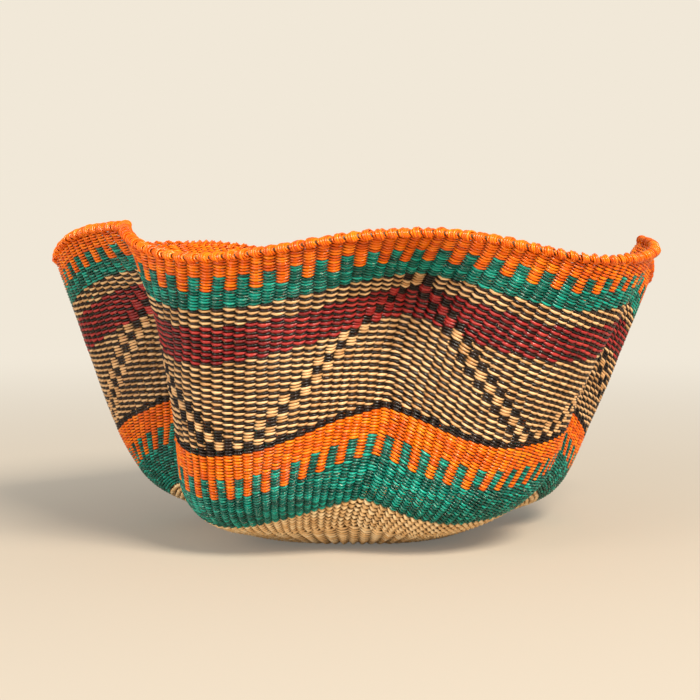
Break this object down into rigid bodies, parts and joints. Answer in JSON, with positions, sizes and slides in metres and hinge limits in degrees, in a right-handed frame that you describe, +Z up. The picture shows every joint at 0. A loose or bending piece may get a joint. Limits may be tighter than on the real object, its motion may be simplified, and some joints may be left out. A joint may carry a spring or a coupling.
{
  "type": "bolga basket",
  "caption": "Round woven grass bowl with a wavy, wrapped rim, a flat straw base, folded wall and dyed bands with toothed edges, open at the top.",
  "frame": {"origin": "centre of the base, on the surface the basket stands on", "axes": "+Z up; the front fold between the two front lobes faces -Y and +X is to the right of someone looking at it"},
  "size_m": [0.474, 0.4428, 0.2344],
  "materials": {
    "straw": "undyed twined grass, satin",
    "undyed_stake": "undyed split grass",
    "orange_grass": "dyed twined grass, satin",
    "green_grass": "dyed twined grass, satin",
    "burgundy_grass": "dyed twined grass, satin",
    "black_grass": "dyed twined grass, satin",
    "toothed_grass": "one orange and one green strand twined together, satin",
    "striped_grass": "one undyed and one black strand twined together, satin"
  },
  "bodies": {
    "root": {"base_crossing": "straw", "base_straw_weft": "straw", "foot_lower_straw_weft": "straw", "foot_upper_straw_weft": "straw", "green_lower_weft": "green_grass", "toothed_lower_weft": "toothed_grass", "orange_lower_weft": "orange_grass", "black_line_weft": "black_grass", "striped_main_weft": "striped_grass", "burgundy_weft": "burgundy_grass", "striped_upper_weft": "striped_grass", "green_upper_weft": "green_grass", "toothed_upper_weft": "toothed_grass", "orange_upper_weft": "orange_grass", "rim_core": "undyed_stake", "rim_wrap": "orange_grass", "stake_01": "undyed_stake", "stake_02": "undyed_stake", "stake_03": "undyed_stake", "stake_04": "undyed_stake", "stake_05": "undyed_stake", "stake_06": "undyed_stake", "stake_07": "undyed_stake", "stake_08": "undyed_stake", "stake_09": "undyed_stake", "stake_10": "undyed_stake", "stake_11": "undyed_stake", "stake_12": "undyed_stake", "stake_13": "undyed_stake", "stake_14": "undyed_stake", "stake_15": "undyed_stake", "stake_16": "undyed_stake", "stake_17": "undyed_stake", "stake_18": "undyed_stake", "stake_19": "undyed_stake", "stake_20": "undyed_stake"}
  },
  "joints": []
}
